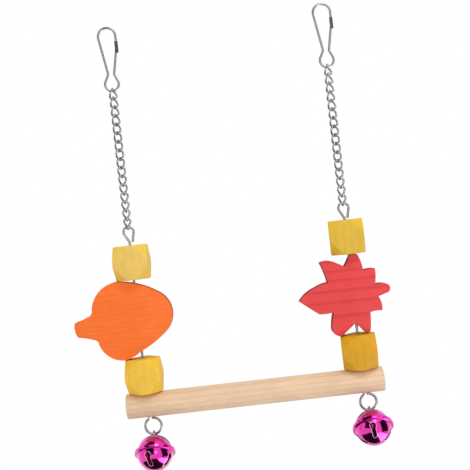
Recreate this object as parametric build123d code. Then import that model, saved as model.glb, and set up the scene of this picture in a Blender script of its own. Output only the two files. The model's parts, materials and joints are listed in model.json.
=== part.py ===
from build123d import *

import os
from math import acos, asin, atan2, ceil, cos, degrees, hypot, radians, sin, sqrt, tan

# Bird swing, in millimetres. +X runs along the perch to the viewer's right, +Y away from the viewer, +Z up.
# The origin is midway between the two hooks, on the line where their bows rest on a cage bar.

# Perch: a cut dowel, cross-drilled for the two wires
PERCH_LENGTH = 150.0
PERCH_DIAMETER = 14.3
PERCH_EDGE = 0.5
WIRE_INSET = 12.0

# Threaded wires: eye at the top, straight rod, open ring under the perch
WIRE_DIAMETER = 1.5
WIRE_PLAY = 0.25
EYE_HEIGHT = 10.4
EYE_WIDTH = 7.4
EYE_BEND = 2.0
EYE_TAIL_GAP = 0.25
RING_DIAMETER = 11.0
RING_OFFSET = 1.9
RING_BEND = 2.0
RING_END_GAP = 0.6

# Beads: cubes with their corners cut off, drilled from top to bottom
BEAD_SIZE = 20.0
BEAD_CORNER_CUT = 8.0
BEAD_HOLE = 3.0
BEAD_TURNS = {"left_upper": -1.0, "left_lower": -2.0, "right_upper": -7.0, "right_lower": -6.0}

# Plaques: flat sawn shapes, drilled edge to edge along the wire.
# Outlines run clockwise about the wire's axis; a row is a corner and the bulge of the edge that leaves it.
PLAQUE_THICKNESS = 8.0
PLAQUE_HOLE = 3.0
PUMPKIN_OUTLINE = [
    (-10.5, 23.3, 1.9),
    (14.8, 14.0, 4.6),
    (16.8, -7.3, 0.8),
    (0.0, -18.2, 0.6),
    (-9.5, -22.3, 3.4),
    (-23.9, -10.2, -0.3),
    (-26.2, -8.6, -0.2),
    (-35.2, -6.2, 0.9),
    (-36.3, 2.2, -0.2),
    (-29.8, 4.4, -0.6),
    (-25.8, 7.2, 4.2),
]
LEAF_OUTLINE = [
    (0.2, 23.5, 0.2),
    (4.4, 23.3, 0.5),
    (6.9, 13.4, 0.5),
    (13.8, 13.9, 0.3),
    (12.9, 4.6, 0.5),
    (19.4, 4.4, 1.6),
    (20.0, -0.6, 0.0),
    (14.0, -2.4, 0.8),
    (15.4, -10.7, -0.4),
    (8.4, -11.0, 0.3),
    (7.2, -22.2, 0.0),
    (4.2, -22.2, -0.2),
    (-0.9, -16.4, 0.0),
    (-8.4, -22.2, 0.6),
    (-11.8, -22.5, 0.7),
    (-14.6, -18.6, 0.3),
    (-12.7, -8.9, 0.2),
    (-21.0, -9.1, 0.1),
    (-31.7, -0.6, 1.0),
    (-21.7, 6.5, 0.4),
    (-14.3, 8.6, -0.4),
    (-17.7, 20.5, 0.9),
    (-9.1, 20.0, 0.0),
    (-3.5, 16.9, -0.2),
]

# Chains: twisted wire links of one size
LINK_COUNT = 16
LINK_LENGTH = 7.6
LINK_WIDTH = 5.2
LINK_WIRE = 1.2

# Snap hooks: one bent wire, a rolled latch sleeve on its end and a spring gate
HOOK_LENGTH = 38.4
HOOK_WIDTH = 11.5
HOOK_WIRE = 1.4
HOOK_LOOP_WIDTH = 9.4
HOOK_NECK_HEIGHT = 10.4
HOOK_NECK_BEND = 4.0
SPINE_NECK_OFFSET = 1.5
GATE_NECK_OFFSET = 1.9
SLEEVE_LENGTH = 6.4
SLEEVE_TOP_DROP = 3.4
SLEEVE_WALL = 0.35
SLEEVE_LIP = 0.9
SLEEVE_GRIP = 2.2
GATE_SEAT = 3.6

# Jingle bells: two half shells crimped at a belt, a wire shank and a loose clapper pellet
BELL_DIAMETER = 20.8
BELL_WALL = 0.6
BELL_DROP = 11.5
FLANGE_WIDTH = 0.9
BELT_WALL = 0.6
BELT_LIP = 0.7
SHANK_WIRE = 1.3
SHANK_WIDTH = 5.9
SHANK_TAIL = 1.0
SLOT_COUNT = 4
SLOT_LENGTH = 8.4
SLOT_WIDTH = 2.2
SLOT_EYE = 3.4
SLOT_LATITUDE = 37.0
CLAPPER_SIZE = 4.6
CLAPPER_CORNER_CUT = 1.2
BELL_TILTS = {"left": 35.0, "right": 43.0}
SLOT_TURNS = {"left": -109.0, "right": -98.0}

# Clearances between pieces that touch or turn on one another
STACK_GAP = 0.2
LINK_GAP = 0.12
SEAT_GAP = 0.06
GATE_PLAY = 0.05
CRIMP_GAP = 0.03
CLAPPER_GAP = 0.15

# Flats: sides round wires, links, bells and punched holes, rows from a bell's belt to its crown, and steps
# round bends
WIRE_SIDES = 8
LINK_SIDES = 6
BELL_SIDES = 20
PUNCH_SIDES = 12
OUTER_ROWS = 5
INNER_ROWS = 3
CROWN_LATITUDE = 80.0
BEND_STEP = 20.0
LINK_STEPS = 2

QUARTER_TURN = 90.0
HALF_TURN = 180.0
FULL_TURN = 360.0
wire_reach = PERCH_LENGTH / 2 - WIRE_INSET
SIDES = {"left": -wire_reach, "right": wire_reach}

# Heights, from the hang line down
link_bar = LINK_LENGTH - LINK_WIRE
link_pitch = link_bar - LINK_WIRE - LINK_GAP
link_twist = QUARTER_TURN * (1 + 1 / LINK_COUNT)
hook_bottom = HOOK_WIRE - HOOK_LENGTH
hook_bar = hook_bottom + HOOK_WIRE / 2
first_link_top = hook_bar + (HOOK_WIRE + LINK_WIRE) / 2 + LINK_GAP
last_link_bottom = first_link_top - (LINK_COUNT - 1) * link_pitch - link_bar
eye_bar = last_link_bottom + (LINK_WIRE + WIRE_DIAMETER) / 2 + LINK_GAP
eye_base = eye_bar + WIRE_DIAMETER / 2 - EYE_HEIGHT


def outline_face(outline):
    """Closed face of straight and bulged edges through the outline's corners."""
    corners = outline + outline[:1]
    edges = []
    for (x, z, bulge), (next_x, next_z, _) in zip(corners, corners[1:]):
        if bulge:
            edges.append(SagittaArc((x, z), (next_x, next_z), bulge))
        else:
            edges.append(Line((x, z), (next_x, next_z)))
    return make_face(edges)


plaque_faces = {"left": outline_face(PUMPKIN_OUTLINE), "right": outline_face(LEAF_OUTLINE)}
plaque_height = max(face.bounding_box().size.Y for face in plaque_faces.values())
stack_top = eye_base - STACK_GAP
perch_top = stack_top - 2 * BEAD_SIZE - plaque_height - 3 * STACK_GAP
perch_axis = perch_top - PERCH_DIAMETER / 2
ring_centre = perch_axis - (PERCH_DIAMETER + RING_DIAMETER) / 2 - SEAT_GAP
ring_radius = (RING_DIAMETER - WIRE_DIAMETER) / 2
ring_bar = ring_centre - ring_radius


def heading_vector(heading):
    """Unit vector of the drawing plane at a heading in degrees."""
    return Vector(cos(radians(heading)), sin(radians(heading)))


def bent_path(start, heading, steps):
    """Points and headings of a wire bent by straight lengths and (radius, turn) bends, end to end."""
    point = Vector(*start)
    places = [(point, heading)]
    for step in steps:
        if isinstance(step, tuple):
            radius, turn = step
            count = ceil(abs(turn) / BEND_STEP)
            bend = turn / count
            chord = 2 * radius * sin(radians(abs(bend) / 2))
        else:
            count, bend, chord = 1, 0, step
        for _ in range(count):
            point += heading_vector(heading + bend / 2) * chord
            heading += bend
            places.append((point, heading))
    return places


def polygon(centre, across, along, radius, sides):
    """Corners of a regular polygon about a centre, in the plane of two unit vectors."""
    corners = []
    for index in range(sides):
        angle = radians(FULL_TURN * index / sides)
        corners.append(centre + across * (radius * cos(angle)) + along * (radius * sin(angle)))
    return corners


def skin(rings):
    """Solid of flat sides through rings of corners, with a flat face at each end."""
    outlines = [rings[0], rings[-1]]
    for ring, following in zip(rings, rings[1:]):
        for index in range(len(ring)):
            outlines.append([ring[index - 1], ring[index], following[index], following[index - 1]])
    return solid_of(outlines)


def looped_skin(rings):
    """Solid through rings of corners that close on themselves, its twisted sides halved into triangles."""
    outlines = []
    for ring, following in zip(rings, rings[1:] + rings[:1]):
        for index in range(len(ring)):
            outlines.append([ring[index - 1], ring[index], following[index]])
            outlines.append([ring[index - 1], following[index], following[index - 1]])
    return solid_of(outlines)


def solid_of(outlines):
    """Solid closed by the flat faces within the outlines."""
    return Solid(Shell([Face(Wire.make_polygon(outline)) for outline in outlines]))


def bent_wire(places, diameter, plane=Plane.XZ):
    """Wire of the given diameter along a bent path, drawn in a plane through the vertical axis."""
    rings = []
    for point, heading in places:
        inward = heading_vector(heading + QUARTER_TURN)
        corners = polygon(point, inward, Vector(0, 0, 1), diameter / 2, WIRE_SIDES)
        rings.append([plane.from_local_coords(corner) for corner in corners])
    return skin(rings)


def tangent_from(centre, radius, point, side):
    """Heading and length of the line that leaves a circle for a point; side 1 goes left round it."""
    across, along = point[0] - centre[0], point[1] - centre[1]
    reach = hypot(across, along)
    heading = degrees(atan2(along, across) + side * asin(radius / reach))
    return heading, sqrt(reach**2 - radius**2)


def tangent_to(point, centre, radius, side):
    """Heading and length of the line from a point onto a circle; side 1 turns left round the circle."""
    across, along = centre[0] - point[0], centre[1] - point[1]
    reach = hypot(across, along)
    heading = degrees(atan2(along, across) - side * asin(radius / reach))
    return heading, sqrt(reach**2 - radius**2)


def turn_between(heading, next_heading, side):
    """Turn from one heading to the next, to the left for side 1 and to the right for side -1."""
    return side * ((next_heading - heading) * side % FULL_TURN)


def make_hook():
    """Bent wire of the hook, from its end in the latch sleeve round to the gate's pivot at the neck."""
    bow_radius = (HOOK_WIDTH - HOOK_WIRE) / 2
    bow_centre = (0, HOOK_WIRE / 2 - bow_radius)
    loop_radius = (HOOK_LOOP_WIDTH - HOOK_WIRE) / 2
    loop_centre = (0, hook_bar + loop_radius)
    neck = (-SPINE_NECK_OFFSET, hook_bottom + HOOK_NECK_HEIGHT)
    wire_end = (bow_radius, sleeve_top() - SLEEVE_GRIP)
    spine_heading, spine_length = tangent_from(bow_centre, bow_radius, neck, 1)
    waist_heading, waist_length = tangent_to(neck, loop_centre, loop_radius, 1)
    rise_heading, rise_length = tangent_from(loop_centre, loop_radius, gate_pivot(), 1)
    neck_turn = turn_between(spine_heading, waist_heading, -1)
    neck_trim = HOOK_NECK_BEND * tan(radians(-neck_turn / 2))
    steps = [
        bow_centre[1] - wire_end[1],
        (bow_radius, turn_between(QUARTER_TURN, spine_heading, 1)),
        spine_length - neck_trim,
        (HOOK_NECK_BEND, neck_turn),
        waist_length - neck_trim,
        (loop_radius, turn_between(waist_heading, rise_heading, 1)),
        rise_length,
    ]
    hook = bent_wire(bent_path(wire_end, QUARTER_TURN, steps), HOOK_WIRE)
    pivot_x, pivot_z = gate_pivot()
    knuckle = Cylinder(HOOK_WIRE / 2 + GATE_PLAY, 2 * HOOK_WIRE, rotation=(QUARTER_TURN, 0, 0))
    return hook - Pos(pivot_x, 0, pivot_z) * knuckle


def sleeve_top():
    """Height of the latch sleeve's upper end."""
    return HOOK_WIRE / 2 - (HOOK_WIDTH - HOOK_WIRE) / 2 - SLEEVE_TOP_DROP


def gate_pivot():
    """Where the gate turns, beside the hook's neck."""
    return GATE_NECK_OFFSET, hook_bottom + HOOK_NECK_HEIGHT


def make_sleeve():
    """Rolled channel on the end of the hook's wire, open towards the inside of the hook."""
    bore = HOOK_WIRE / 2 + GATE_PLAY
    outer = bore + SLEEVE_WALL
    lips = Pos(-SLEEVE_LIP / 2, 0) * Rectangle(SLEEVE_LIP, 2 * outer)
    mouth = Pos(-outer, 0) * Rectangle(2 * outer, 2 * bore)
    channel = Circle(outer) + lips - Circle(bore) - mouth
    centre = Pos((HOOK_WIDTH - HOOK_WIRE) / 2, 0, sleeve_top() - SLEEVE_LENGTH)
    return centre * extrude(channel, SLEEVE_LENGTH)


def make_gate():
    """Spring gate: a straight wire from its round end at the neck into the latch sleeve."""
    pivot_x, pivot_z = gate_pivot()
    tip_x = (HOOK_WIDTH - HOOK_WIRE) / 2
    tip_z = sleeve_top() - SLEEVE_LENGTH + GATE_SEAT
    rise = Vector(tip_x - pivot_x, 0, tip_z - pivot_z)
    section = Plane(origin=(pivot_x, 0, pivot_z), z_dir=rise) * RegularPolygon(HOOK_WIRE / 2, WIRE_SIDES)
    round_end = extrude(Plane.XZ * RegularPolygon(HOOK_WIRE / 2, WIRE_SIDES), HOOK_WIRE / 2, both=True)
    return extrude(section, rise.length) + Pos(pivot_x, 0, pivot_z) * round_end


def make_link():
    """Wire loop twisted about its length, so that each end crosses the next link squarely."""
    end_radius = (LINK_WIDTH - LINK_WIRE) / 2
    end_centre = link_bar / 2 - end_radius
    step = QUARTER_TURN / LINK_STEPS
    upper = [(index * step, end_centre) for index in range(2 * LINK_STEPS + 1)]
    lower = [(HALF_TURN + angle, -end_centre) for angle, centre in upper]
    rings = []
    for angle, centre in upper + lower:
        along = heading_vector(angle)
        run = heading_vector(angle + QUARTER_TURN)
        x, z = end_radius * along.X, centre + end_radius * along.Y
        phase = radians(QUARTER_TURN * z / (link_bar / 2))
        twisted = link_twist / 2 * sin(phase)
        twist_rate = radians(link_twist / 2) * cos(phase) * radians(QUARTER_TURN) / (link_bar / 2)
        tangent = Vector(run.X, x * twist_rate * run.Y, run.Y).normalized()
        across = (Vector(0, 1, 0) - tangent * tangent.Y).normalized()
        corners = polygon(Vector(x, 0, z), tangent.cross(across), across, LINK_WIRE / 2, LINK_SIDES)
        rings.append([corner.rotate(Axis.Z, twisted) for corner in corners])
    return looped_skin(rings)


def link_place(index):
    """Centre height of a link and its turn about the chain, counted from the hook."""
    turn = QUARTER_TURN - link_twist / 2 + index * (QUARTER_TURN - link_twist)
    return first_link_top - link_bar / 2 - index * link_pitch, turn


def make_wire():
    """Threaded wire: ring from its free end by the rod, straight rod, and eye with its tail by the rod."""
    eye_radius = (EYE_WIDTH - WIRE_DIAMETER) / 2
    eye_centre = (0, eye_bar - eye_radius)
    foot = (0, eye_base + WIRE_DIAMETER / 2)
    tail = (WIRE_DIAMETER + EYE_TAIL_GAP, foot[1])
    leg_heading, leg_length = tangent_to(foot, eye_centre, eye_radius, -1)
    tail_heading, tail_length = tangent_from(eye_centre, eye_radius, tail, -1)
    foot_turn = turn_between(QUARTER_TURN, leg_heading, 1)
    foot_trim = EYE_BEND * tan(radians(foot_turn / 2))
    bend_across, bend_reach = RING_OFFSET + RING_BEND, ring_radius + RING_BEND
    step_angle = degrees(asin(bend_across / bend_reach))
    step_top = ring_centre + sqrt(bend_reach**2 - bend_across**2)
    start_angle = degrees(acos((WIRE_DIAMETER / 2 + RING_END_GAP - RING_OFFSET) / ring_radius))
    start = Vector(RING_OFFSET, ring_centre) + heading_vector(start_angle) * ring_radius
    steps = [
        (ring_radius, QUARTER_TURN + step_angle - start_angle - FULL_TURN),
        (RING_BEND, QUARTER_TURN - step_angle),
        foot[1] - foot_trim - step_top,
        (EYE_BEND, foot_turn),
        leg_length - foot_trim,
        (eye_radius, turn_between(leg_heading, tail_heading, -1)),
        tail_length,
    ]
    return bent_wire(bent_path((start.X, start.Y), start_angle - QUARTER_TURN, steps), WIRE_DIAMETER)


def make_perch():
    """Dowel with softened ends and a cross hole for each wire."""
    dowel = Cylinder(PERCH_DIAMETER / 2, PERCH_LENGTH, rotation=(0, QUARTER_TURN, 0))
    dowel = chamfer(dowel.edges().filter_by(GeomType.CIRCLE), PERCH_EDGE)
    hole = Cylinder(WIRE_DIAMETER / 2 + WIRE_PLAY, 2 * PERCH_DIAMETER)
    for x in SIDES.values():
        dowel -= Pos(x, 0, 0) * hole
    return Pos(0, 0, perch_axis) * dowel


def cut_cube(size, corner_cut):
    """Cube with its eight corners cut off."""
    cube = Box(size, size, size)
    reach = size / 2
    signs = (-1, 1)
    for sign_x in signs:
        for sign_y in signs:
            for sign_z in signs:
                origin = (sign_x * (reach - corner_cut), sign_y * reach, sign_z * reach)
                plane = Plane(origin=origin, z_dir=(sign_x, sign_y, sign_z))
                cube = split(cube, bisect_by=plane, keep=Keep.BOTTOM)
    return cube


def make_bead(turn):
    """Cut-corner bead, drilled along the wire."""
    bead = cut_cube(BEAD_SIZE, BEAD_CORNER_CUT) - Cylinder(BEAD_HOLE / 2, 2 * BEAD_SIZE)
    return bead.rotate(Axis.Z, turn)


def make_plaque(face):
    """Flat sawn shape, drilled along the wire; its lowest point is at height 0."""
    plaque = extrude(Plane.XZ * face, PLAQUE_THICKNESS / 2, both=True)
    plaque -= Cylinder(PLAQUE_HOLE / 2, 4 * plaque_height)
    return Pos(0, 0, -face.bounding_box().min.Y) * plaque


def half_ball(radius, rows, side):
    """Half of a ball in rows of flats, from the belt to its flat crown."""
    rings = []
    for row in range(rows + 1):
        latitude = radians(CROWN_LATITUDE * row / rows)
        centre = Vector(0, 0, side * radius * sin(latitude))
        rings.append(polygon(centre, Vector(1, 0, 0), Vector(0, 1, 0), radius * cos(latitude), BELL_SIDES))
    return skin(rings)


def bell_shell(side):
    """Half of the bell's hollow ball: side 1 is the upper half and side -1 the lower."""
    outer = BELL_DIAMETER / 2
    return half_ball(outer, OUTER_ROWS, side) - half_ball(outer - BELL_WALL, INNER_ROWS, side)


def ring_solid(inner, outer, low, high):
    """Flat ring about the bell's axis between two heights."""
    ring = RegularPolygon(outer, BELL_SIDES) - RegularPolygon(inner, BELL_SIDES)
    return Pos(0, 0, low) * extrude(ring, high - low)


def make_bell_top():
    """Upper half of the bell with its flange and the two holes for the shank."""
    bore = BELL_DIAMETER / 2 - BELL_WALL
    flange = BELL_DIAMETER / 2 + FLANGE_WIDTH
    top = bell_shell(1) + ring_solid(bore + BELL_WALL / 2, flange, 0, BELL_WALL)
    hole = extrude(RegularPolygon(SHANK_WIRE / 2 + GATE_PLAY, PUNCH_SIDES), BELL_DIAMETER)
    for side in (-1, 1):
        top -= Pos(0, side * (SHANK_WIDTH - SHANK_WIRE) / 2, 0) * hole
    return top


def make_bell_bottom(slot_turn):
    """Lower half of the bell, its rim crimped over the upper flange; keyhole slots let the sound out."""
    bore = BELL_DIAMETER / 2 - BELL_WALL
    flange = BELL_DIAMETER / 2 + FLANGE_WIDTH
    belt = flange + CRIMP_GAP + BELT_WALL
    lip_low = BELL_WALL + CRIMP_GAP
    bottom = bell_shell(-1) + ring_solid(bore + BELL_WALL / 2, belt, -BELL_WALL, 0)
    bottom += ring_solid(flange + CRIMP_GAP, belt, -BELL_WALL, lip_low + BELL_WALL)
    bottom += ring_solid(belt - BELT_WALL - BELT_LIP, belt, lip_low, lip_low + BELL_WALL)
    slot = Rectangle(SLOT_LENGTH - SLOT_WIDTH, SLOT_WIDTH)
    slot += Pos((SLOT_WIDTH - SLOT_LENGTH) / 2, 0) * RegularPolygon(SLOT_WIDTH / 2, PUNCH_SIDES)
    slot += Pos((SLOT_LENGTH - SLOT_EYE) / 2, 0) * RegularPolygon(SLOT_EYE / 2, PUNCH_SIDES)
    slope, drop = cos(radians(SLOT_LATITUDE)), sin(radians(SLOT_LATITUDE))
    for index in range(SLOT_COUNT):
        side = heading_vector(slot_turn + index * FULL_TURN / SLOT_COUNT)
        outward = side * slope - Vector(0, 0, drop)
        uphill = side * drop + Vector(0, 0, slope)
        plane = Plane(origin=outward * (bore / 2), x_dir=uphill, z_dir=outward)
        bottom -= extrude(plane * slot, BELL_DIAMETER / 2)
    return bottom


def make_shank():
    """Wire loop over the ring, its legs through the bell's crown; the ring's bar is at the origin."""
    bow_radius = (SHANK_WIDTH - SHANK_WIRE) / 2
    bow_top = (WIRE_DIAMETER + SHANK_WIRE) / 2 + LINK_GAP
    crown = BELL_DROP - sqrt((BELL_DIAMETER / 2) ** 2 - bow_radius**2)
    leg = bow_top - bow_radius + crown + BELL_WALL + SHANK_TAIL
    steps = [leg, (bow_radius, -HALF_TURN), leg]
    start = (-bow_radius, bow_top - bow_radius - leg)
    return bent_wire(bent_path(start, QUARTER_TURN, steps), SHANK_WIRE, Plane.YZ)


def make_bell(side):
    """The bell's pieces, swung forward about the bar of its ring by the side's tilt."""
    swing = Pos(SIDES[side] + RING_OFFSET, 0, ring_bar) * Rot(-BELL_TILTS[side], 0, 0)
    centre = swing * Pos(0, 0, -BELL_DROP)
    flat_angle = max(HALF_TURN / BELL_SIDES, CROWN_LATITUDE / INNER_ROWS / 2)
    bowl = (BELL_DIAMETER / 2 - BELL_WALL) * cos(radians(flat_angle))
    roll = sqrt(bowl**2 - CLAPPER_SIZE**2 / 2) - CLAPPER_SIZE / 2 - CLAPPER_GAP
    clapper = Pos(centre.position) * Pos(0, 0, -roll) * cut_cube(CLAPPER_SIZE, CLAPPER_CORNER_CUT)
    return {
        f"{side}_bell_shank": swing * make_shank(),
        f"{side}_bell_top": centre * make_bell_top(),
        f"{side}_bell_bottom": centre * make_bell_bottom(SLOT_TURNS[side]),
        f"{side}_clapper": clapper,
    }


def make_side(side, plaque_name, link):
    """Everything on one wire of the swing, from the hook down to the bell."""
    across = Pos(SIDES[side], 0, 0)
    pieces = {
        f"{side}_hook": across * make_hook(),
        f"{side}_latch_sleeve": across * make_sleeve(),
        f"{side}_gate": across * make_gate(),
        f"{side}_wire": across * make_wire(),
    }
    for index in range(LINK_COUNT):
        height, turn = link_place(index)
        pieces[f"{side}_link_{index + 1:02d}"] = across * Pos(0, 0, height) * Rot(0, 0, turn) * link
    lower_bead = perch_top + STACK_GAP
    plaque_foot = lower_bead + BEAD_SIZE + STACK_GAP
    upper_bead = plaque_foot + plaque_faces[side].bounding_box().size.Y + STACK_GAP
    for level, foot in (("lower", lower_bead), ("upper", upper_bead)):
        bead = make_bead(BEAD_TURNS[f"{side}_{level}"])
        pieces[f"{side}_{level}_bead"] = across * Pos(0, 0, foot + BEAD_SIZE / 2) * bead
    pieces[plaque_name] = across * Pos(0, 0, plaque_foot) * make_plaque(plaque_faces[side])
    return pieces | make_bell(side)


def main():
    """Write each piece to its own file."""
    os.makedirs("parts", exist_ok=True)
    link = make_link()
    pieces = make_side("left", "pumpkin_plaque", link) | make_side("right", "leaf_plaque", link)
    pieces["perch"] = make_perch()
    for name, piece in pieces.items():
        export_step(piece, f"parts/{name}.step")


if __name__ == "__main__":
    main()
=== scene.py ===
"""Dresses the bird swing: round wires, spun bells, softened wood and their finishes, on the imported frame."""

import json
import math

import bmesh
import bpy
from mathutils import Matrix, Vector


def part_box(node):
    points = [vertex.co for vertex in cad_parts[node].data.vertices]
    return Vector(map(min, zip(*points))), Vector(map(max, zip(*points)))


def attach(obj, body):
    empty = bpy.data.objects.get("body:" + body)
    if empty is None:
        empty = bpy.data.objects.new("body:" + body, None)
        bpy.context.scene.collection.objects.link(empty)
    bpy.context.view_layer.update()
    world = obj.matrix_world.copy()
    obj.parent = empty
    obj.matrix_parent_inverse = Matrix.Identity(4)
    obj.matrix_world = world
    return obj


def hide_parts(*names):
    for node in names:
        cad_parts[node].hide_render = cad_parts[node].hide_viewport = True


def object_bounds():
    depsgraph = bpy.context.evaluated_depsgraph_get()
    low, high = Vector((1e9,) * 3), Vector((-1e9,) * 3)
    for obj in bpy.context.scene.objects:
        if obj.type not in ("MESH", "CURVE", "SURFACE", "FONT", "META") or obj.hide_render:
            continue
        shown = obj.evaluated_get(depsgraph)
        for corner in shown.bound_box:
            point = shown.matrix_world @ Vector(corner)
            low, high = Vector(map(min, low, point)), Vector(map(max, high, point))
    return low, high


bl_info = {
    "name": "Bird Swing",
    "version": (1, 0, 0),
    "blender": (4, 5, 0),
    "location": "View3D > Sidebar > Bird Swing",
    "description": "Builds the finished pieces of a hanging bird swing on its measured frame",
    "category": "Object",
}

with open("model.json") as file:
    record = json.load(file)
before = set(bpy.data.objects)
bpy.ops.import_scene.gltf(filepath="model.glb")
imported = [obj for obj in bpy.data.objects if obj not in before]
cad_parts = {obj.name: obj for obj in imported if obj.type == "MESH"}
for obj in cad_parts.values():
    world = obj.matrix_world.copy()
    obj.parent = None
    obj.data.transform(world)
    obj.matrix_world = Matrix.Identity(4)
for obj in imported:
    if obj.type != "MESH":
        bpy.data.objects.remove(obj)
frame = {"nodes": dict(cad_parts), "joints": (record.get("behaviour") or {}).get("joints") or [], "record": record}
CAD_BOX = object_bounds()

MM = 0.001
QUARTER_TURN = math.pi / 2
HALF_TURN = math.pi
FULL_TURN = 2 * math.pi
SIDES = ("left", "right")

# What the frame says of each node
NODE_BODY = {node: body for body, nodes in frame["record"]["behaviour"]["bodies"].items() for node in nodes}
JOINTS = {joint["name"]: joint for joint in frame["joints"]}
LINK_NODES = {
    side: sorted(name for name in frame["nodes"] if name.startswith(f"{side}_link_")) for side in SIDES
}


def node_box(node):
    """Centre and size of a node's box."""
    low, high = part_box(node)
    return (low + high) / 2, high - low


# Heights and places read from the frame
MIDDLE = (CAD_BOX[0] + CAD_BOX[1]) / 2
WIRE_X = {side: JOINTS[f"{side}_upper_bead_spin"]["pos_m"][0] for side in SIDES}
PERCH_CENTRE, PERCH_SIZE = node_box("perch")
HOOK_LOW, HOOK_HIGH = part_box("left_hook")
WIRE_LOW, WIRE_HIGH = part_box("left_wire")


def length(name, description, millimetres):
    """Property for a length, shown in the scene's units."""
    return bpy.props.FloatProperty(
        name=name, description=description, default=millimetres * MM, precision=5, unit="LENGTH"
    )


def angle(name, description, degrees):
    """Property for an angle."""
    return bpy.props.FloatProperty(
        name=name, description=description, default=math.radians(degrees), unit="ROTATION"
    )


def colour(name, description, red, green, blue):
    """Property for a finish's colour, in linear light."""
    return bpy.props.FloatVectorProperty(
        name=name, description=description, default=(red, green, blue), subtype="COLOR", min=0, max=1
    )


class SwingSizes(bpy.types.PropertyGroup):
    """Sizes of the bent wires, links, bells and beads."""

    hook_wire: length("Hook Wire", "Diameter of the hook's wire", 1.4)
    hook_width: length("Hook Width", "Outside width of the hook's bow", 11.5)
    hook_loop: length("Hook Loop", "Outside width of the hook's lower loop", 9.4)
    neck_height: length("Neck Height", "Height of the hook's neck above its lowest point", 10.4)
    neck_bend: length("Neck Bend", "Radius of the bend at the hook's neck", 4.0)
    spine_offset: length("Spine Offset", "Distance of the spine from the middle at the neck", 1.5)
    gate_offset: length("Gate Offset", "Distance of the gate from the middle at the neck", 1.9)
    wire_diameter: length("Wire", "Diameter of the threaded wire", 1.5)
    eye_height: length("Eye Height", "Height of the wire's eye", 10.4)
    eye_width: length("Eye Width", "Outside width of the wire's eye", 7.4)
    eye_bend: length("Eye Bend", "Radius of the bend below the eye", 2.0)
    eye_tail_gap: length("Eye Tail Gap", "Gap between the eye's tail and the rod", 0.25)
    ring_diameter: length("Ring", "Outside diameter of the ring under the perch", 11.0)
    ring_offset: length("Ring Offset", "Distance of the ring's middle from the rod's", 1.9)
    ring_bend: length("Ring Bend", "Radius of the bend between ring and rod", 2.0)
    ring_end_gap: length("Ring End Gap", "Gap between the ring's free end and the rod", 0.6)
    link_length: length("Link Length", "Outside length of a chain link", 7.6)
    link_width: length("Link Width", "Outside width of a chain link", 5.2)
    link_wire: length("Link Wire", "Diameter of the link's wire", 1.2)
    bead_size: length("Bead", "Height of a bead", 20.0)
    bead_cut: length("Bead Corner", "Length cut off each edge at a bead's corner", 8.0)
    bead_edge: length("Bead Edge", "Softening of a bead's edges", 0.7)
    bead_hole: length("Bead Hole", "Diameter of a bead's hole", 3.0)
    plaque_edge: length("Plaque Edge", "Softening of a plaque's rims", 0.6)
    perch_edge: length("Perch Edge", "Softening of the perch's ends", 0.5)
    perch_hole: length("Perch Hole", "Diameter of the perch's cross holes", 2.0)
    bell_diameter: length("Bell", "Diameter of a bell's ball", 20.6)
    bell_wall: length("Bell Wall", "Thickness of a bell's shell", 0.6)
    bell_drop: length("Bell Drop", "Distance from the ring's bar to the bell's centre", 11.5)
    flange: length("Bell Flange", "Width of the upper half's flange", 0.9)
    belt_wall: length("Belt Wall", "Thickness of the crimped belt", 0.55)
    belt_lip: length("Belt Lip", "Width of the belt's lip over the flange", 0.7)
    shank_wire: length("Shank Wire", "Diameter of the bell's wire loop", 1.3)
    shank_width: length("Shank Width", "Outside width of the bell's wire loop", 5.9)
    shank_tail: length("Shank Tail", "Length of the loop's legs inside the bell", 1.0)
    slot_length: length("Slot Length", "Length of a bell's keyhole slot", 8.4)
    slot_width: length("Slot Width", "Width of the slot's narrow part", 2.2)
    slot_eye: length("Slot Eye", "Diameter of the slot's round end", 3.4)
    slot_rim: length("Slot Rim", "Thickness of the rolled rim round a slot", 0.36)
    slot_latitude: angle("Slot Latitude", "How far below the belt the slots are centred", 37)


class SwingColours(bpy.types.PropertyGroup):
    """Colours of the finishes."""

    nickel: colour("Nickel", "Plated wire of the hooks, links, threaded wires and shanks", 0.44, 0.43, 0.415)
    pale: colour("Pale Wood", "The bead that took the least dye", 0.83, 0.547, 0.126)
    yellow: colour("Yellow Wood", "The brightest bead", 0.86, 0.53, 0.055)
    golden: colour("Golden Wood", "The bead dyed a little deeper than yellow", 0.756, 0.474, 0.048)
    amber: colour("Amber Wood", "The most deeply dyed bead", 0.70, 0.355, 0.009)
    orange: colour("Orange Wood", "Dyed pumpkin plaque", 0.96, 0.177, 0.021)
    red: colour("Red Wood", "Dyed leaf plaque", 0.79, 0.0585, 0.0605)
    bare: colour("Bare Wood", "Perch dowel", 0.80, 0.57, 0.385)
    magenta: colour("Magenta Metal", "Lacquered bells", 0.83, 0.012, 0.42)
    # Pale pink that paints the highlight on the slots' rolled rims, much paler than the lacquer
    rim: colour("Punched Rim", "Painted highlight on the rims of the bells' slots", 0.95, 0.6, 0.8)
    steel: colour("Clapper Steel", "Pellet inside the bells", 0.45, 0.44, 0.43)
    floor: colour("Floor", "Studio floor", 0.9, 0.9, 0.9)


def sizes():
    """The sizes set in the sidebar."""
    return bpy.context.scene.swing_sizes


def colours():
    """The colours set in the sidebar."""
    return bpy.context.scene.swing_colours


# Pieces

FINISHES_PER_PIECE = 2
SHARP_ANGLE = 40


def new_object(name, bm, materials):
    """Object made from a shape, with its list of finishes."""
    mesh = bpy.data.meshes.new(name)
    bm.to_mesh(mesh)
    bm.free()
    for material in materials:
        mesh.materials.append(material)
    made = bpy.data.objects.new(name, mesh)
    bpy.context.scene.collection.objects.link(made)
    return made


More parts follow.
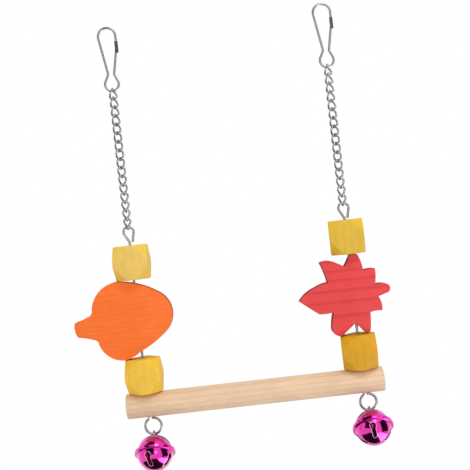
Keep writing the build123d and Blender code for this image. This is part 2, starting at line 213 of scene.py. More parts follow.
def add_piece(node, bm, *materials, sharp=SHARP_ANGLE, seams=False):
    """Finished piece that stands for a node and rides on its body, smooth except at sharp edges and seams."""
    for face in bm.faces:
        face.smooth = True
    for edge in bm.edges:
        if len(edge.link_faces) == 2:
            first, second = edge.link_faces
            seam = seams and first.material_index != second.material_index
            edge.smooth = not seam and edge.calc_face_angle() < math.radians(sharp)
    piece = new_object(f"{node}_finished", bm, materials)
    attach(piece, NODE_BODY[node])
    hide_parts(node)
    return piece.data


def combined(bm, other, operation):
    """Two shapes cut or joined, whose faces keep their places in the list of finishes."""
    shapes = [new_object("shape", shape, [None] * FINISHES_PER_PIECE) for shape in (bm, other)]
    body, tool = shapes
    boolean = body.modifiers.new("shape", "BOOLEAN")
    boolean.operation = operation
    boolean.solver = "EXACT"
    boolean.use_self = True
    boolean.object = tool
    result = bmesh.new()
    result.from_object(body, bpy.context.evaluated_depsgraph_get())
    for shape in shapes:
        mesh = shape.data
        bpy.data.objects.remove(shape)
        bpy.data.meshes.remove(mesh)
    return result


def cut_away(bm, cutter):
    """The first shape less the second."""
    return combined(bm, cutter, "DIFFERENCE")


def add_rod(bm, radius, depth, sides, place):
    """Round rod centred on a place, along its own Z axis."""
    bmesh.ops.create_cone(
        bm, cap_ends=True, segments=sides, radius1=radius, radius2=radius, depth=depth, matrix=place
    )


# Slanted so that no two corners of a piece lie level along it
SORT_WAY = Vector((1, 1.618, 2.303))


def soften(bm, geom, width, segments=3, affect="EDGES"):
    """Rounds edges or corners by a width, or cuts them straight with one segment."""
    bmesh.ops.bevel(
        bm, geom=geom, offset=width, offset_type="OFFSET", affect=affect,
        segments=segments, profile=0.5, material=-1, clamp_overlap=True,
    )
    # A bevel leaves its corners in any order, and cuts that follow depend on it
    bm.verts.sort(key=lambda vert: vert.co.dot(SORT_WAY))
    bm.edges.sort(key=lambda edge: sum(vert.co.dot(SORT_WAY) for vert in edge.verts))
    bm.faces.sort(key=lambda face: face.calc_center_median().dot(SORT_WAY))


# Bent wires


def heading_vector(heading):
    """Unit vector of the drawing plane at a heading."""
    return Vector((math.cos(heading), math.sin(heading)))


def touching_line(start, end, radius, side):
    """Heading and length of the line that touches a circle and ends in a point, from the circle or onto it.

    Side 1 leaves a left bend or meets a right one, and side -1 the other way round.
    """
    reach = end - start
    heading = math.atan2(reach.y, reach.x) + side * math.asin(radius / reach.length)
    return heading, math.sqrt(reach.length_squared - radius**2)


def turn_between(heading, next_heading, side):
    """Turn from one heading to the next, to the left for side 1 and to the right for side -1."""
    return side * ((next_heading - heading) * side % FULL_TURN)


def frame_at(point, across, tangent):
    """Matrix of a wire's section: its own Z runs along the wire."""
    along = tangent.cross(across)
    matrix = Matrix((across, along, tangent)).transposed().to_4x4()
    matrix.translation = point
    return matrix


BEND_STEP = math.radians(7)
WIRE_SIDES = 16
# Rounding of a wire's ends, as a share of its radius
ROUND_END = 0.95
BLUNT_END = 0.5


def bent_frames(start, heading, steps, place):
    """Sections along a wire bent by straight lengths and (radius, turn) bends, drawn in a placed plane."""
    point = Vector(start)
    places = [(point.copy(), heading)]
    for step in steps:
        if isinstance(step, tuple):
            radius, turn = step
            count = math.ceil(abs(turn) / BEND_STEP)
            bend = turn / count
            chord = 2 * radius * math.sin(abs(bend) / 2)
        else:
            count, bend, chord = 1, 0, step
        for _ in range(count):
            point += heading_vector(heading + bend / 2) * chord
            heading += bend
            places.append((point.copy(), heading))
    normal = Vector((0, 0, 1))
    return [place @ frame_at(spot.to_3d(), normal, heading_vector(way).to_3d()) for spot, way in places]


def tube(frames, radius, closed=False, rounding=BLUNT_END, bm=None):
    """Round wire drawn out through the frames, its ends rounded by a share of its radius."""
    bm = bm or bmesh.new()
    first = bmesh.ops.create_circle(bm, segments=WIRE_SIDES, radius=radius, matrix=frames[0])["verts"]
    first_edges = list(dict.fromkeys(edge for vert in first for edge in vert.link_edges))
    edges = first_edges
    for last, following in zip(frames, frames[1:]):
        drawn = bmesh.ops.extrude_edge_only(bm, edges=edges)["geom"]
        verts = {item for item in drawn if isinstance(item, bmesh.types.BMVert)}
        edges = [item for item in drawn if isinstance(item, bmesh.types.BMEdge) and set(item.verts) <= verts]
        bmesh.ops.transform(bm, matrix=following @ last.inverted(), verts=list(verts))
    if closed:
        bmesh.ops.bridge_loops(bm, edges=first_edges + edges)
    else:
        for rim in (first_edges, edges):
            bmesh.ops.edgeloop_fill(bm, edges=rim)
        soften(bm, first_edges + edges, radius * rounding)
    bmesh.ops.recalc_face_normals(bm, faces=bm.faces)
    return bm


def upright_plane(x):
    """Drawing plane that stands across the view at a distance along the perch."""
    return Matrix.Translation((x, 0, 0)) @ Matrix.Rotation(QUARTER_TURN, 4, "X")


# Materials


class NodeTree:
    """Nodes of a material or of the world, and the links between them."""

    def __init__(self, owner):
        owner.use_nodes = True
        self.owner = owner
        self.nodes = owner.node_tree.nodes
        self.links = owner.node_tree.links

    def fill(self, node, inputs):
        """Sets a node's inputs to values, or links them to other nodes' outputs."""
        for name, value in inputs.items():
            if isinstance(value, bpy.types.NodeSocket):
                self.links.new(value, node.inputs[name])
            else:
                node.inputs[name].default_value = value

    def add(self, kind, inputs, **settings):
        """New node with its settings and inputs."""
        node = self.nodes.new(f"ShaderNode{kind}")
        for name, value in settings.items():
            setattr(node, name, value)
        self.fill(node, inputs)
        return node

    def seen_ray(self):
        """1 for rays that show a thing, also in a mirror or through glass, and 0 for rays that light it."""
        rays = self.add("LightPath", {}).outputs
        seen = rays["Is Camera Ray"]
        for name in ("Is Glossy Ray", "Is Transmission Ray"):
            seen = self.add("Math", {0: seen, 1: rays[name]}, operation="MAXIMUM").outputs["Value"]
        return seen


class Finish(NodeTree):
    """Material under way, with the patterns that make up its surface."""

    def __init__(self, name):
        super().__init__(bpy.data.materials.new(name))
        self.surface = self.nodes["Principled BSDF"]

    def dress(self, inputs):
        """Sets or links inputs of the surface shader."""
        self.fill(self.surface, inputs)

    def show(self, shader):
        """Shows another shader in place of the surface shader."""
        self.fill(self.nodes["Material Output"], {"Surface": shader})

    def mapped(self, scale=(1, 1, 1), rotation=(0, 0, 0), location=(0, 0, 0)):
        """Object coordinates, moved, turned and stretched."""
        place = self.add("TexCoord", {}).outputs["Object"]
        inputs = {"Vector": place, "Scale": scale, "Rotation": rotation, "Location": location}
        return self.add("Mapping", inputs).outputs["Vector"]

    def noise(self, vector, scale, detail, roughness):
        """Value noise on a vector."""
        inputs = {"Vector": vector, "Scale": scale, "Detail": detail, "Roughness": roughness}
        return self.add("TexNoise", inputs).outputs["Fac"]

    def ramp(self, value, *stops):
        """Colour ramp of (place, colour) stops on a value."""
        node = self.add("ValToRGB", {"Fac": value})
        elements = node.color_ramp.elements
        while len(elements) < len(stops):
            elements.new(1)
        for element, (place, shade) in zip(elements, stops):
            element.position = place
            element.color = (*shade, 1)
        return node.outputs["Color"]

    def vary(self, value, first, last, margin=0.3):
        """One colour that passes into another over a noise's range less a margin at both ends."""
        return self.ramp(value, (margin, first), (1 - margin, last))

    def multiply(self, first, second):
        """Product of two colours."""
        inputs = {"Factor": 1, 6: first, 7: second}
        return self.add("Mix", inputs, data_type="RGBA", blend_type="MULTIPLY").outputs[2]

    def relief(self, height, strength, distance):
        """Surface relief from a height."""
        bump = self.add("Bump", {"Height": height, "Strength": strength, "Distance": distance})
        self.dress({"Normal": bump.outputs["Normal"]})


def grey(value):
    """Neutral shade."""
    return (value, value, value)


def tinted(shade, factor):
    """Colour times a factor for each channel."""
    return tuple(channel * share for channel, share in zip(shade, factor))


def along_grain(stretch, axis):
    """Scale that draws a pattern out along the grain."""
    return tuple(stretch if name == axis else 1 for name in "XYZ")


# The wave texture runs through one ring in this share of a metre at scale 1
WAVE_LENGTH = FULL_TURN / 20
RING_STRETCH = 0.12
RING_DETAIL = 2
RING_DETAIL_SCALE = 0.6
# Where in a ring the late wood starts to darken, and where it is darkest
LATE_START, LATE_END = 0.55, 0.9
LATE_TINT = (0.8, 0.72, 0.7)

FIBRE_STRETCH = 0.06
FIBRE_STREAK = 0.1
FIBRE_GLOSS, FIBRE_DRYNESS = 0.06, 0.1
BLOTCH_STRETCH = 0.5
BLOTCH_DEPTH = 0.05
WOOD_SPECULAR = 0.3
PATCH_DULLING = 0.06
FLOW_DEPTH = 0.1
LACQUER_ROUGH = 0.1
COAT_ROUGH = 0.04

# Scale, detail and roughness of each noise
FIBRE_NOISE = (2600, 4, 0.6)
BLOTCH_NOISE = (110, 2, 0.5)
PATCH_NOISE = (420, 3, 0.5)
DRAWN_NOISE = (900, 2, 0.5)
FLOW_NOISE = (260, 3, 0.5)

# Strength and depth of each relief
FIBRE_RELIEF = (0.25, 0.12 * MM)
DRAWN_RELIEF = (0.02, 0.03 * MM)
FLOW_RELIEF = (0.05, 0.2 * MM)


def wood_material(name, shade, ring_gap, pith, lean=0, line=LATE_TINT, wander=2.0, rough=0.62, axis="X"):
    """Wood cut from rings about a pith that runs along an axis, with fibres and faint blotches."""
    wood = Finish(name)
    turn = (0, math.radians(lean), 0)
    ring_inputs = {
        "Vector": wood.mapped(along_grain(RING_STRETCH, axis), turn, pith),
        "Scale": WAVE_LENGTH / ring_gap,
        "Distortion": wander,
        "Detail": RING_DETAIL,
        "Detail Scale": RING_DETAIL_SCALE,
    }
    rings = wood.add("TexWave", ring_inputs, wave_type="RINGS", rings_direction=axis, wave_profile="SAW")
    late = tinted(shade, line)
    base = wood.ramp(rings.outputs["Fac"], (0, shade), (LATE_START, shade), (LATE_END, late), (1, shade))
    fibres = wood.noise(wood.mapped(along_grain(FIBRE_STRETCH, axis), turn), *FIBRE_NOISE)
    streaks = wood.vary(fibres, grey(1 - FIBRE_STREAK), grey(1 + FIBRE_STREAK), margin=0.25)
    blotches = wood.noise(wood.mapped(along_grain(BLOTCH_STRETCH, axis), turn), *BLOTCH_NOISE)
    shading = wood.vary(blotches, grey(1 - BLOTCH_DEPTH), grey(1 + BLOTCH_DEPTH))
    wood.dress({
        "Base Color": wood.multiply(wood.multiply(base, streaks), shading),
        "Roughness": wood.vary(fibres, grey(rough - FIBRE_GLOSS), grey(rough + FIBRE_DRYNESS), margin=0.2),
        "Specular IOR Level": WOOD_SPECULAR,
    })
    wood.relief(fibres, *FIBRE_RELIEF)


def plated_material(name, shade, rough):
    """Bright plating with faint drawing marks and dulled patches."""
    plate = Finish(name)
    place = plate.mapped()
    patches = plate.noise(place, *PATCH_NOISE)
    plate.dress({
        "Base Color": plate.vary(patches, tinted(shade, grey(1 - PATCH_DULLING)), shade),
        "Roughness": plate.vary(patches, grey(rough + PATCH_DULLING), grey(rough)),
        "Metallic": 1,
    })
    plate.relief(plate.noise(place, *DRAWN_NOISE), *DRAWN_RELIEF)


def lacquer_material(name, shade):
    """Coloured lacquer over bright metal, with fine flow marks."""
    lacquer = Finish(name)
    flow = lacquer.noise(lacquer.mapped(), *FLOW_NOISE)
    lacquer.dress({
        "Base Color": lacquer.vary(flow, tinted(shade, grey(1 - FLOW_DEPTH)), shade),
        "Roughness": lacquer.vary(flow, grey(LACQUER_ROUGH + PATCH_DULLING), grey(LACQUER_ROUGH)),
        "Metallic": 1,
        "Coat Weight": 1,
        "Coat Roughness": COAT_ROUGH,
    })
    lacquer.relief(flow, *FLOW_RELIEF)


PLAIN = (1, 1, 1)
PUMPKIN_PITH = (0, 0.05, 0.12)
LEAF_PITH = (0, 0.04, 0.2)
DOWEL_PITH = (0, 0.012, 0.021)
BEAD_PITH = (0.021, 0.037, 0)
SAWN_ROUGH = 0.75

# Function, colour, tint and details of each finish
FINISHES = {
    "bright_nickel": (plated_material, "nickel", PLAIN, {"rough": 0.3}),
    # Latch sleeve: the same nickel darkened to a brown grey, painted shade and reflection for the shadow in its
    # channel and the dark it mirrors
    "dark_latch": (plated_material, "nickel", (0.26, 0.2, 0.16), {"rough": 0.35}),
    "pellet_steel": (plated_material, "steel", PLAIN, {"rough": 0.35}),
    # Slot rims: pale, rough plating that paints their highlight
    "punched_rim": (plated_material, "rim", PLAIN, {"rough": 0.5}),
    "magenta_lacquer": (lacquer_material, "magenta", PLAIN, {}),
    "orange_stain": (
        wood_material, "orange", PLAIN,
        {"ring_gap": 1.9 * MM, "pith": PUMPKIN_PITH, "lean": 4, "line": (0.97, 0.9, 0.88), "wander": 3.0},
    ),
    # Sawn edges: darker than the board, partly end grain that takes more dye and partly painted shade
    "orange_sawn_edge": (
        wood_material, "orange", (0.6, 0.45, 0.4),
        {"ring_gap": 2.4 * MM, "pith": PUMPKIN_PITH, "rough": SAWN_ROUGH},
    ),
    "red_stain": (
        wood_material, "red", PLAIN,
        {"ring_gap": 4.2 * MM, "pith": LEAF_PITH, "lean": -3, "line": (0.86, 0.66, 0.68), "wander": 1.2},
    ),
    # Darker sawn edges: deeper dye on the end grain and painted shade
    "red_sawn_edge": (
        wood_material, "red", (0.42, 0.4, 0.45),
        {"ring_gap": 4.2 * MM, "pith": LEAF_PITH, "rough": SAWN_ROUGH},
    ),
    "bare_dowel": (
        wood_material, "bare", PLAIN,
        {"ring_gap": 2.9 * MM, "pith": DOWEL_PITH, "line": (0.93, 0.88, 0.8), "wander": 2.6, "rough": 0.6},
    ),
}

BEAD_WOODS = {"left_upper": "pale", "left_lower": "yellow", "right_upper": "golden", "right_lower": "amber"}
# A bead's grain runs along its hole
BEAD_GRAIN = {"ring_gap": 4.1 * MM, "pith": BEAD_PITH, "line": (0.97, 0.95, 0.9), "wander": 1.5, "axis": "Z"}
# The cut corners of a bead show end grain, which takes more dye; they are also painted a little lighter, painted
# light for the light that the corners facing down lack
FACET_DYE_AND_LIGHT = (1.05, 1.04, 0.5)
for wood_name in BEAD_WOODS.values():
    FINISHES[f"{wood_name}_stain"] = (wood_material, wood_name, PLAIN, BEAD_GRAIN)
    FINISHES[f"{wood_name}_facet"] = (wood_material, wood_name, FACET_DYE_AND_LIGHT, BEAD_GRAIN)


def finish(name):
    """Material of that name, made once."""
    if name not in bpy.data.materials:
        make, shade, tint, details = FINISHES[name]
        make(name, tinted(getattr(colours(), shade), tint), **details)
    return bpy.data.materials[name]


# Operators


class SWING_OT_hooks(bpy.types.Operator):
    """Bend the two snap hooks, roll their latch sleeves and draw their gates"""

    bl_idname = "swing.hooks"
    bl_label = "Snap Hooks"

    # Share of the sleeve's length that the hook's end fills, and of its radius that is wall
    end_share = 1 / 3
    wall_share = 0.3125
    roll_steps = 12

    def execute(self, context):
        for side in SIDES:
            self.bend_hook(side)
            self.roll_sleeve(side)
            self.draw_gate(side)
        return {"FINISHED"}

    def bend_hook(self, side):
        """One wire from the latch round the bow, down the spine, round the lower loop and up to the gate."""
        size = sizes()
        bow_radius = (size.hook_width - size.hook_wire) / 2
        bow_centre = Vector((0, HOOK_HIGH.z - size.hook_wire / 2 - bow_radius))
        loop_radius = (size.hook_loop - size.hook_wire) / 2
        loop_centre = Vector((0, HOOK_LOW.z + size.hook_wire / 2 + loop_radius))
        neck_height = HOOK_LOW.z + size.neck_height
        neck = Vector((-size.spine_offset, neck_height))
        pivot = Vector((size.gate_offset, neck_height))
        sleeve_low, sleeve_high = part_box(f"{side}_latch_sleeve")
        wire_end = Vector((bow_radius, sleeve_high.z - (sleeve_high.z - sleeve_low.z) * self.end_share))
        spine_heading, spine_length = touching_line(bow_centre, neck, bow_radius, 1)
        waist_heading, waist_length = touching_line(neck, loop_centre, loop_radius, -1)
        rise_heading, rise_length = touching_line(loop_centre, pivot, loop_radius, 1)
        neck_turn = turn_between(spine_heading, waist_heading, -1)
        neck_trim = size.neck_bend * math.tan(-neck_turn / 2)
        steps = [
            bow_centre.y - wire_end.y,
            (bow_radius, turn_between(QUARTER_TURN, spine_heading, 1)),
            spine_length - neck_trim,
            (size.neck_bend, neck_turn),
            waist_length - neck_trim,
            (loop_radius, turn_between(waist_heading, rise_heading, 1)),
            rise_length,
        ]
        frames = bent_frames(wire_end, QUARTER_TURN, steps, upright_plane(WIRE_X[side]))
        hook = tube(frames, size.hook_wire / 2, rounding=ROUND_END)
        add_piece(f"{side}_hook", hook, finish("bright_nickel"))

    def roll_sleeve(self, side):
        """Strip rolled into a channel, open towards the inside of the hook."""
        low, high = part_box(f"{side}_latch_sleeve")
        outer = (high.y - low.y) / 2
        wall = outer * self.wall_share
        centre = Vector((high.x - outer, 0, low.z))
        middle = outer - wall / 2
        bm = bmesh.new()
        start = bmesh.ops.create_vert(bm, co=centre + Vector((0, -middle, 0)))["vert"]
        roll = bmesh.ops.spin(
            bm, geom=start, cent=centre, axis=(0, 0, 1), angle=HALF_TURN, steps=self.roll_steps
        )["geom_last"]
        for end in (start[0], next(item for item in roll if isinstance(item, bmesh.types.BMVert))):
            lip = bmesh.ops.extrude_vert_indiv(bm, verts=[end])["verts"]
            bmesh.ops.translate(bm, verts=lip, vec=(low.x - centre.x, 0, 0))
        strip = bmesh.ops.extrude_edge_only(bm, edges=bm.edges[:])["geom"]
        rising = [item for item in strip if isinstance(item, bmesh.types.BMVert)]
        bmesh.ops.translate(bm, verts=rising, vec=(0, 0, high.z - low.z))
        bmesh.ops.recalc_face_normals(bm, faces=bm.faces)
        bmesh.ops.solidify(bm, geom=bm.faces[:], thickness=wall)
        bmesh.ops.recalc_face_normals(bm, faces=bm.faces)
        # The sleeve's darker finish is painted shade and reflection on the same plating
        add_piece(f"{side}_latch_sleeve", bm, finish("dark_latch"))

    @staticmethod
    def draw_gate(side):
        """Straight wire from the neck into the sleeve."""
        size = sizes()
        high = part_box(f"{side}_gate")[1]
        pivot = Vector(JOINTS[f"{side}_gate_open"]["pos_m"])
        tip = Vector((high.x - size.hook_wire / 2, 0, high.z))
        rise = (tip - pivot).normalized()
        across = Vector((0, 1, 0))
        spots = [pivot - rise * size.hook_wire / 2, pivot.lerp(tip, 0.5), tip]
        frames = [frame_at(spot, across, rise) for spot in spots]
        gate = tube(frames, size.hook_wire / 2, rounding=ROUND_END)
        add_piece(f"{side}_gate", gate, finish("bright_nickel"))


class SWING_OT_chains(bpy.types.Operator):
    """Bend the twisted links of both chains"""

    bl_idname = "swing.chains"
    bl_label = "Chains"

    arc_steps = 14
    straight_steps = 3

    def execute(self, context):
        twist = QUARTER_TURN * (1 + 1 / len(LINK_NODES["left"]))
        for side in SIDES:
            for index, node in enumerate(LINK_NODES[side]):
                centre = node_box(node)[0]
                turn = QUARTER_TURN - twist / 2 + index * (QUARTER_TURN - twist)
                place = Matrix.Translation((WIRE_X[side], 0, centre.z)) @ Matrix.Rotation(turn, 4, "Z")
                frames = [place @ section for section in self.loop_frames(twist)]
                add_piece(node, tube(frames, sizes().link_wire / 2, closed=True), finish("bright_nickel"))
        return {"FINISHED"}

    def loop_frames(self, twist):
        """Sections round a flat loop that is then twisted about its length."""
        size = sizes()
        bar = (size.link_length - size.link_wire) / 2
        end_radius = (size.link_width - size.link_wire) / 2
        end_centre = bar - end_radius
        stations = []
        for base, centre in ((0, end_centre), (HALF_TURN, -end_centre)):
            for step in range(self.arc_steps + 1):
                way = base + HALF_TURN * step / self.arc_steps
                spot = Vector((end_radius * math.cos(way), centre + end_radius * math.sin(way)))
                stations.append((spot, way + QUARTER_TURN))
            last, heading = stations[-1]
            for step in range(1, self.straight_steps):
                drop = 2 * centre * step / self.straight_steps
                stations.append((last - Vector((0, drop)), heading))
        frames = []
        for spot, heading in stations:
            run = heading_vector(heading)
            phase = QUARTER_TURN * spot.y / bar
            rate = twist / 2 * math.cos(phase) * QUARTER_TURN / bar
            tangent = Vector((run.x, spot.x * rate * run.y, run.y)).normalized()
            across = (Vector((0, 1, 0)) - tangent * tangent.y).normalized()
            section = frame_at(Vector((spot.x, 0, spot.y)), across, tangent)
            frames.append(Matrix.Rotation(twist / 2 * math.sin(phase), 4, "Z") @ section)
        return frames


class SWING_OT_wires(bpy.types.Operator):
    """Bend the two threaded wires with their eyes and rings"""

    bl_idname = "swing.wires"
    bl_label = "Threaded Wires"

    def execute(self, context):
        size = sizes()
        radius = size.wire_diameter / 2
        eye_radius = size.eye_width / 2 - radius
        eye_centre = Vector((0, WIRE_HIGH.z - radius - eye_radius))
        foot = Vector((0, WIRE_HIGH.z - size.eye_height + radius))
        tail = foot + Vector((size.wire_diameter + size.eye_tail_gap, 0))
        leg_heading, leg_length = touching_line(foot, eye_centre, eye_radius, 1)
        tail_heading, tail_length = touching_line(eye_centre, tail, eye_radius, -1)
        foot_turn = turn_between(QUARTER_TURN, leg_heading, 1)
        foot_trim = size.eye_bend * math.tan(foot_turn / 2)
        ring_radius = size.ring_diameter / 2 - radius
        ring_centre = Vector((size.ring_offset, WIRE_LOW.z + size.ring_diameter / 2))
        across, reach = size.ring_offset + size.ring_bend, ring_radius + size.ring_bend
        step_angle = math.asin(across / reach)
        step_top = ring_centre.y + math.sqrt(reach**2 - across**2)
        start_angle = math.acos((radius + size.ring_end_gap - size.ring_offset) / ring_radius)
        start = ring_centre + heading_vector(start_angle) * ring_radius
        steps = [
            (ring_radius, QUARTER_TURN + step_angle - start_angle - FULL_TURN),
            (size.ring_bend, QUARTER_TURN - step_angle),
            foot.y - foot_trim - step_top,
            (size.eye_bend, foot_turn),
            leg_length - foot_trim,
            (eye_radius, turn_between(leg_heading, tail_heading, -1)),
            tail_length,
        ]
        for side in SIDES:
            frames = bent_frames(start, start_angle - QUARTER_TURN, steps, upright_plane(WIRE_X[side]))
            add_piece(f"{side}_wire", tube(frames, radius), finish("bright_nickel"))
        return {"FINISHED"}


class SWING_OT_beads(bpy.types.Operator):
    """Cut the corners off the four beads, soften them and drill them"""

    bl_idname = "swing.beads"
    bl_label = "Beads"

    # Degrees that each bead is turned on its wire
    turns = {"left_upper": -1, "left_lower": -2, "right_upper": -7, "right_lower": -6}
    hole_sides = 32
    flat_face = 0.8
    sharp_angle = 32

    def execute(self, context):
        size = sizes()
        for name, wood in BEAD_WOODS.items():
            node = f"{name}_bead"
            bm = bmesh.new()
            bmesh.ops.create_cube(bm, size=size.bead_size)
            soften(bm, bm.verts[:], size.bead_cut, 1, "VERTICES")
            soften(bm, bm.edges[:], size.bead_edge)
            drill = bmesh.new()
            add_rod(drill, size.bead_hole / 2, 2 * size.bead_size, self.hole_sides, Matrix())
            bead = cut_away(bm, drill)
            # Corner facets take the finish that is deeper dye and painted light
            for face in bead.faces:
                face.material_index = int(max(abs(part) for part in face.normal) < self.flat_face)
            turn = Matrix.Rotation(math.radians(self.turns[name]), 4, "Z")
            place = Matrix.Translation(node_box(node)[0]) @ turn
            bmesh.ops.transform(bead, matrix=place, verts=bead.verts)
            finishes = finish(f"{wood}_stain"), finish(f"{wood}_facet")
            add_piece(node, bead, *finishes, sharp=self.sharp_angle)
        return {"FINISHED"}


class SWING_OT_plaques(bpy.types.Operator):
    """Soften the rims of the sawn plaques"""

    bl_idname = "swing.plaques"
    bl_label = "Plaques"

    woods = {"pumpkin_plaque": "orange", "leaf_plaque": "red"}
    weld = 0.001 * MM
    flat_angle = 0.5
    # Shares of a normal along Y: above the first a face is the board's, below the second it is sawn
    board_face = 0.9
    sawn_face = 0.6
    sharp_angle = 35

    def execute(self, context):
        for node, wood in self.woods.items():
            bm = bmesh.new()
            bm.from_mesh(frame["nodes"][node].data)
            bmesh.ops.remove_doubles(bm, verts=bm.verts, dist=self.weld)
            bmesh.ops.dissolve_limit(
                bm, angle_limit=math.radians(self.flat_angle), verts=bm.verts, edges=bm.edges,
                use_dissolve_boundaries=False,
            )
            bmesh.ops.recalc_face_normals(bm, faces=bm.faces)
            board = {face for face in bm.faces if abs(face.normal.y) > self.board_face}
            rims = [edge for edge in bm.edges if sum(face in board for face in edge.link_faces) == 1]
            soften(bm, rims, sizes().plaque_edge)
            # Sawn faces take the darker finish: deeper dye on the end grain and painted shade
            for face in bm.faces:
                face.material_index = int(abs(face.normal.y) < self.sawn_face)
            finishes = finish(f"{wood}_stain"), finish(f"{wood}_sawn_edge")
            add_piece(node, bm, *finishes, sharp=self.sharp_angle)
        return {"FINISHED"}


class SWING_OT_perch(bpy.types.Operator):
    """Cut the perch from dowel and cross-drill it"""

    bl_idname = "swing.perch"
    bl_label = "Perch"

    dowel_sides = 72
    hole_sides = 24

    def execute(self, context):
        size = sizes()
        bm = bmesh.new()
        along_x = Matrix.Rotation(QUARTER_TURN, 4, "Y")
        add_rod(bm, PERCH_SIZE.z / 2, PERCH_SIZE.x, self.dowel_sides, along_x)
        rims = [edge for edge in bm.edges if abs(edge.verts[0].co.x - edge.verts[1].co.x) < MM]
        soften(bm, rims, size.perch_edge)
        drill = bmesh.new()
        for side in SIDES:
            place = Matrix.Translation((WIRE_X[side], 0, 0))
            add_rod(drill, size.perch_hole / 2, 2 * PERCH_SIZE.z, self.hole_sides, place)
        perch = cut_away(bm, drill)
        bmesh.ops.translate(perch, verts=perch.verts, vec=PERCH_CENTRE)
        add_piece("perch", perch, finish("bare_dowel"))
        return {"FINISHED"}


class SWING_OT_bells(bpy.types.Operator):
    """Spin the bells, punch their slots, bend their shanks and finish their clappers"""

    bl_idname = "swing.bells"
    bl_label = "Bells"

    slot_count = 4
    # Degrees round each bell to its first slot
    slot_turns = {"left": -109, "right": -98}
    rim_rise = 0.03 * MM
    crimp_gap = 0.03 * MM
    drill_gap = 0.05 * MM
    shank_gap = 0.12 * MM
    flange_rounding = 0.15 * MM
    belt_rounding = 0.22 * MM
    corner_angle = 140
    corner_steps = 4
    weld = 0.002 * MM
    sliver = 0.02 * MM
    spin_steps = 96
    arc_steps = 24
    run_steps = 8
    hole_sides = 24
    punch_sides = 32

    def execute(self, context):
        for side in SIDES:
            swing = JOINTS[f"{side}_bell_swing"]
            tilt = -math.radians(sum(swing["range_deg"]) / 2)
            bar = Matrix.Translation(swing["pos_m"]) @ Matrix.Rotation(tilt, 4, "X")
            ball = bar @ Matrix.Translation((0, 0, -sizes().bell_drop))
            self.spin_top(side, ball)
            self.spin_bottom(side, ball)
            self.bend_shank(side, bar)
            for slot in frame["nodes"][f"{side}_clapper"].material_slots:
                slot.material = finish("pellet_steel")
        return {"FINISHED"}

    @staticmethod
    def shell():
        """Outer and inner radius of the ball, and the latitude where its wall meets the flange or belt."""
        size = sizes()
        outer = size.bell_diameter / 2
        return outer, outer - size.bell_wall, math.asin(size.bell_wall / outer)

    def arc(self, radius, first, last):
        """Points of the bell's round wall from one latitude to another."""
        points = []
        for step in range(self.arc_steps + 1):
            latitude = first + (last - first) * step / self.arc_steps
            points.append(Vector((radius * math.cos(latitude), 0, radius * math.sin(latitude))))
        return points

    @staticmethod
    def corners(*places):
        """Points of the profile at radii and heights."""
        return [Vector((radius, 0, height)) for radius, height in places]

    def spun(self, profile, rounding):
        """Closed profile, its corners rounded, spun about the bell's axis."""
        bm = bmesh.new()
        verts = [bm.verts.new(point) for point in profile]
        for vert, following in zip(verts, verts[1:]):
            bm.edges.new((vert, following))
        corners = []
        for vert in verts[1:-1]:
            first, second = (edge.other_vert(vert).co - vert.co for edge in vert.link_edges)
            if first.angle(second) < math.radians(self.corner_angle):
                corners.append(vert)
        soften(bm, corners, rounding, self.corner_steps, "VERTICES")
        bmesh.ops.spin(
            bm, geom=bm.verts[:] + bm.edges[:], cent=(0, 0, 0), axis=(0, 0, 1), angle=FULL_TURN,
            steps=self.spin_steps, use_merge=True,
        )
        bmesh.ops.remove_doubles(bm, verts=bm.verts, dist=self.weld)
        bmesh.ops.recalc_face_normals(bm, faces=bm.faces)
        return bm

    def spin_top(self, side, ball):
        """Upper half with its flange, drilled for the shank."""
        size = sizes()
        outer, inner, shoulder = self.shell()
        rim = outer + size.flange
        profile = self.arc(outer, QUARTER_TURN, shoulder)
        profile += self.corners((rim, size.bell_wall), (rim, 0), (inner, 0))
        profile += self.arc(inner, 0, QUARTER_TURN)[1:]
        drill = bmesh.new()
        for leg in (-1, 1):
            place = Matrix.Translation((0, leg * (size.shank_width - size.shank_wire) / 2, outer))
            add_rod(drill, size.shank_wire / 2 + self.drill_gap, outer, self.hole_sides, place)
        top = cut_away(self.spun(profile, self.flange_rounding), drill)
        self.clear_slivers(top)
        bmesh.ops.transform(top, matrix=ball, verts=top.verts)
        add_piece(f"{side}_bell_top", top, finish("magenta_lacquer"))

    def spin_bottom(self, side, ball):
        """Lower half with its belt crimped over the flange, and keyhole slots with rolled rims."""
        size = sizes()
        outer, inner, shoulder = self.shell()
        groove = outer + size.flange + self.crimp_gap
        belt = groove + size.belt_wall
        lip_low = size.bell_wall + self.crimp_gap
        lip_high = lip_low + size.bell_wall
        lip_edge = groove - size.belt_lip
        profile = self.arc(outer, -QUARTER_TURN, -shoulder)
        profile += self.corners((belt, -size.bell_wall), (belt, lip_high), (lip_edge, lip_high))
        profile += self.corners((lip_edge, lip_low), (groove, lip_low), (groove, 0), (inner, 0))
        profile += self.arc(inner, 0, -QUARTER_TURN)[1:]
        bottom = cut_away(self.spun(profile, self.belt_rounding), self.slot_punch(side))
        self.clear_slivers(bottom)
        rims = bmesh.new()
        for aim in self.slot_aims(side):
            tube([aim @ section for section in self.rim_frames()], size.slot_rim / 2, closed=True, bm=rims)
        # The rims take the pale finish that paints their highlight
        for face in rims.faces:
            face.material_index = 1
        bottom = combined(bottom, rims, "UNION")
        self.clear_slivers(bottom)
        bmesh.ops.transform(bottom, matrix=ball, verts=bottom.verts)
        finishes = finish("magenta_lacquer"), finish("punched_rim")
        mesh = add_piece(f"{side}_bell_bottom", bottom, *finishes, seams=True)
        self.even_ball(mesh, ball.translation)

